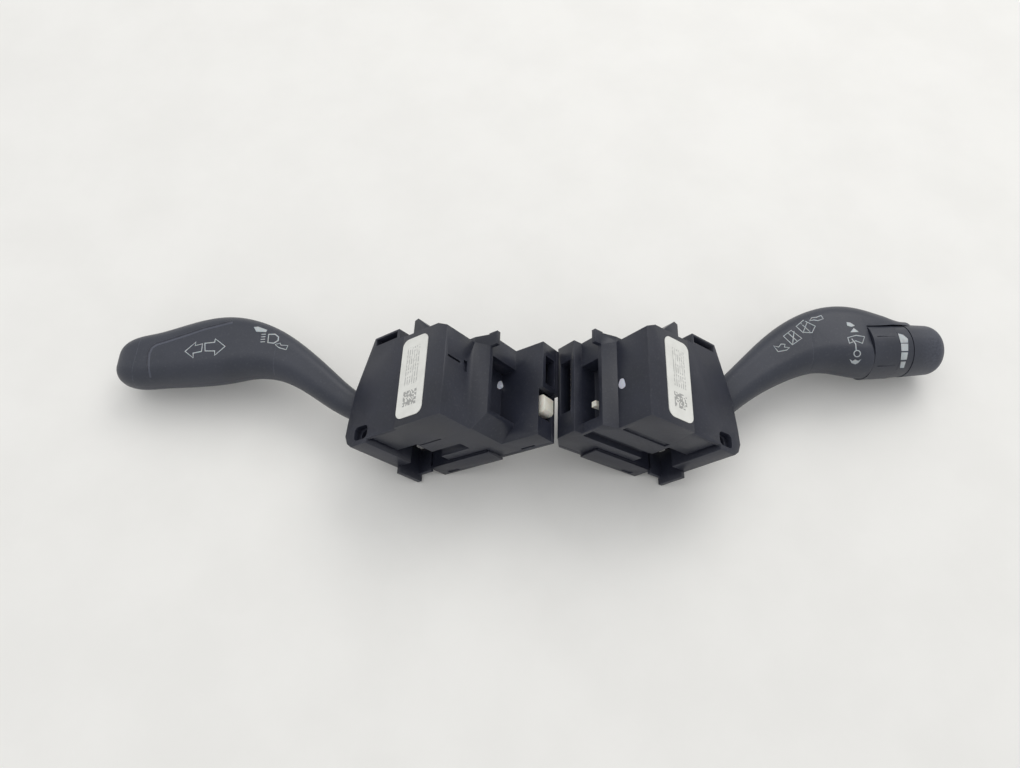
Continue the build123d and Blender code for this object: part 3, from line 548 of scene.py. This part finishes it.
turnStalk = joinedTarget("turnStalkSurface", nodes["turn_lever_arm"], nodes["turn_knob_upper"],
                         nodes["turn_knob_lower"], nodes["turn_end_cap"])
wiperStalk = joinedTarget("wiperStalkSurface", nodes["wiper_lever_arm"], knobShell)


# printed signs: a centre, then lines, each with its points, whether it is closed, and its width
# a width of 0 fills the outline
bold, middling, plain, fine = 1.15, 0.9, 0.85, 0.8
offSign = {"centre": (857.2, 353.6), "reach": (2.7, 2.9), "points": 16}
offOutline = []
for step in range(offSign["points"]):
    angle = step * math.tau / offSign["points"]
    offOutline.append((offSign["centre"][0] + offSign["reach"][0] * math.cos(angle),
                       offSign["centre"][1] + offSign["reach"][1] * math.sin(angle)))
turnMarks = {
    "turnArrowLeft": ((194, 350), [
        ([(186.3, 351.4), (195.7, 342.5), (195.1, 345.9), (201.4, 344.1), (200.3, 351.2), (193.2, 352.9),
          (193.2, 357.2)], True, bold)]),
    "turnArrowRight": ((214, 347), [
        ([(206, 343.6), (214.5, 342.6), (215.3, 339.3), (223.6, 346.2), (214.5, 354.7), (214.5, 350.6),
          (206.2, 350.8)], True, bold)]),
    "sideLampSign": ((260, 330), [
        ([(254.4, 327.3), (256.6, 331.6), (265.4, 331.8), (266.6, 329.8), (258.4, 326.8)], True, 0)]),
    "headLampSign": ((272, 339), [
        ([(269.0, 334.6), (274.9, 334.4), (278.0, 336.9), (277.6, 340.3), (273.6, 342.9),
          (268.2, 342.5)], True, bold),
        ([(262.2, 334.8), (266.4, 334.4)], False, fine), ([(261.9, 337.2), (266.1, 336.8)], False, fine),
        ([(261.6, 339.6), (265.8, 339.2)], False, fine), ([(261.4, 342.0), (265.6, 341.6)], False, fine)]),
    "stalkArrowSign": ((281.5, 346.5), [
        ([(275.6, 344.6), (280.2, 343.3), (281.1, 345.2), (287.4, 345.4), (285.7, 349.4), (280.6, 348.1),
          (278.8, 347.4)], True, fine)]),
}
wiperMarks = {
    "wiperArrowDown": ((781, 347.5), [
        ([(774.4, 345.8), (779, 347), (781, 344.2), (784.6, 344.5), (784, 347.2), (788.5, 347.7), (786, 350),
          (778.4, 351.3)], True, plain)]),
    "wiperSlowSign": ((792, 338), [
        ([(784.4, 336.1), (791.2, 330.7), (800.6, 338.4), (792.4, 344.3)], True, plain),
        ([(788.6, 333.4), (796.8, 341.2)], False, fine), ([(792.5, 344.0), (793.8, 331.5)], False, fine)]),
    "wiperFastSign": ((805.5, 327), [
        ([(797.4, 326.2), (803.6, 320.6), (814, 326.4), (811.2, 332.4), (803, 331.8)], True, plain),
        ([(801.4, 323.6), (809.4, 331.4)], False, fine), ([(803.2, 332.6), (807, 322.4)], False, fine)]),
    "wiperArrowUp": ((816, 318.5), [
        ([(810.4, 320.4), (812.4, 317.6), (816, 317.5), (820.4, 315.8), (822.3, 318.9), (817.6, 320.5),
          (814, 319.7)], True, fine)]),
    "sprayUpperSign": ((850.6, 324.2), [
        ([(847.2, 322.2), (850.2, 322.6), (854.2, 325.6), (851.4, 326.6), (847.8, 325.4)], True, 0)]),
    "pointerSign": ((854.6, 330.4), [([(853.9, 328.2), (851.1, 332), (858, 331.8)], True, 0)]),
    "rearWiperSign": ((856, 342), [
        ([(849.2, 337.8), (856, 335.9), (863.2, 337.2), (861.4, 343.3), (855.8, 340.9),
          (850.6, 343.0)], True, plain),
        ([(856.2, 350.0), (855.8, 343.8), (852.4, 338.8)], False, plain)]),
    "offSign": (offSign["centre"], [(offOutline, True, middling)]),
    "sprayLowerSign": ((855.2, 361.4), [
        ([(850.4, 359.2), (853, 361), (855.2, 359.6), (857.6, 361), (860.2, 359.4), (858, 362.6),
          (855.2, 364.2), (852.2, 362.8)], True, 0)]),
}
for name, (centre, shapes) in turnMarks.items():
    layMark(name, centre, shapes, turnStalk, "turn_lever", materials["print"])
for name, (centre, shapes) in wiperMarks.items():
    layMark(name, centre, shapes, wiperStalk, "wiper_lever", materials["print"])

# interval scale on the bar band, from long to short
scaleBars = {
    "scaleBarLargest": ((904.5, 338), [(899.4, 333.8), (903.4, 335.1), (907.2, 338.7), (907.4, 342.2),
                                       (901.6, 342.2)]),
    "scaleBarLarge": ((904.6, 347.2), [(901.8, 343.9), (907.5, 344.0), (907.5, 350.6), (902.1, 350.6)]),
    "scaleBarSmall": ((904.2, 356), [(902.0, 352.8), (907.3, 352.8), (906.2, 359.2), (901.5, 359.5)]),
    "scaleBarSmallest": ((902.8, 364.8), [(901.3, 362.1), (905.2, 361.9), (903.7, 367.5), (900.6, 367.6)]),
}
for name, (centre, outline) in scaleBars.items():
    layMark(name, centre, [(outline, True, 0)], nodes["bar_band"], "wiper_lever",
            materials["print"], cuts=5)

# dabs of marking paint on the near faces, slightly uneven
paintDots = {"turnPaintDot": {"centre": (500.2, 385), "reach": (2.9, 4.3), "shell": "turnHousingShell"},
             "wiperPaintDot": {"centre": (622, 383.6), "reach": (3.2, 5.3), "shell": "wiperHousingShell"}}
dab = {"points": 24, "thick": 0.00015, "cuts": 1, "unevenAcross": 0.12, "unevenDown": 0.08}
for name, dot in paintDots.items():
    blob = []
    for step in range(dab["points"]):
        angle = step * math.tau / dab["points"]
        across = dot["reach"][0] * (1 + dab["unevenAcross"] * math.sin(3 * angle))
        down = dot["reach"][1] * (1 + dab["unevenDown"] * math.cos(2 * angle + 1))
        blob.append((dot["centre"][0] + across * math.cos(angle), dot["centre"][1] + down * math.sin(angle)))
    layMark(name, dot["centre"], [(blob, True, 0)], bpy.data.objects[dot["shell"]], "modules",
            materials["paint"], cuts=dab["cuts"], thick=dab["thick"])

# a raised rim along the edge of the turn knob's panel, made pale as a painted highlight, and a dark line beside
# it as painted shade along the panel's edge
panelLines = {
    # painted highlight: the raised rim is coloured pale
    "panelRim": {"centre": (185, 336.2), "width": 1.5, "height": 0.00024, "finish": "rim",
                 "path": [(156.2, 374.5), (154.9, 368), (154.4, 361), (154.9, 353), (157.2, 347.6),
                          (161.5, 344.6), (169.7, 341.8), (186.3, 335.6), (201.2, 329.8), (217.8, 324.9),
                          (225.5, 322.6)]},
    # painted shade: a thin dark line of module black beside the rim
    "panelShade": {"centre": (185, 334.6), "width": 1.4, "height": 0.00010, "finish": "module",
                   "path": [(153.6, 368), (152.9, 361), (153.3, 352.4), (155.9, 346.4), (160.7, 342.9),
                            (169.2, 340.1), (185.8, 333.9), (200.7, 328.1), (217.3, 323.2), (224.0, 321.1)]},
}
for name, edge in panelLines.items():
    layMark(name, edge["centre"], [(edge["path"], False, edge["width"])], turnStalk, "turn_lever",
            materials[edge["finish"]], cuts=4, thick=edge["height"])
for helper in (turnStalk, wiperStalk):
    bpy.data.objects.remove(helper)
print("marks laid:", len(turnMarks) + len(wiperMarks) + len(scaleBars) + len(paintDots) + len(panelLines))


# pale table top
table = {"size": 6.0, "tone": (0.87, 0.86, 0.825), "shade": (0.84, 0.83, 0.795),
         "mottle": 0.02, "rough": 0.55}
bpy.ops.mesh.primitive_plane_add(size=table["size"], location=(0, 0, 0))
floor = bpy.context.object
floor.name = "tableTop"
floorMaterial, place, mm = startMaterial("tableTop")
mottle = mm.noise(table["mottle"], 4)
finishMaterial(floorMaterial, place, mottle.ramp(0.3, 0.7).blend(table["tone"], table["shade"]),
               table["rough"] + mottle * 0.1)
floor.data.materials.append(floorMaterial)

# soft light from all round, and a pale background that only the camera sees
studio = {"light": {"Color": (0.97, 0.98, 1.0), "Strength": 0.73},
          "background": {"Color": (0.93, 0.93, 0.92), "Strength": 0.9}}
world = bpy.data.worlds.new("studio")
world.use_nodes = True
scene.world = world
world.node_tree.nodes.clear()
cameraRay = Sock(world.node_tree, world.node_tree.nodes.new("ShaderNodeLightPath").outputs["Is Camera Ray"])
allRound = cameraRay.node("ShaderNodeBackground", studio["light"])
behind = cameraRay.node("ShaderNodeBackground", studio["background"])
surroundings = cameraRay.node("ShaderNodeMixShader", {0: cameraRay, 1: allRound, 2: behind})
cameraRay.node("ShaderNodeOutputWorld", {"Surface": surroundings})

lamps = {
    "windowLight": {"at": (0.55, 1.05, 1.25), "to": (0, 0, 0.02), "size": (1.2, 0.9), "power": 8.0,
                    "tone": (1.0, 0.985, 0.96)},
    "ceilingLight": {"at": (-0.5, 0.35, 1.4), "to": (0, 0, 0.02), "size": (1.2, 1.2), "power": 3.0,
                     "tone": (1.0, 0.99, 0.97)},
}
for name, lamp in lamps.items():
    light = bpy.data.lights.new(name, "AREA")
    light.shape, light.size, light.size_y = "RECTANGLE", *lamp["size"]
    light.energy, light.color = lamp["power"], lamp["tone"]
    holder = bpy.data.objects.new(name, light)
    scene.collection.objects.link(holder)
    holder.location = lamp["at"]
    aim = Vector(lamp["to"]) - holder.location
    holder.rotation_euler = aim.to_track_quat("-Z", "Y").to_euler()
print("light set")
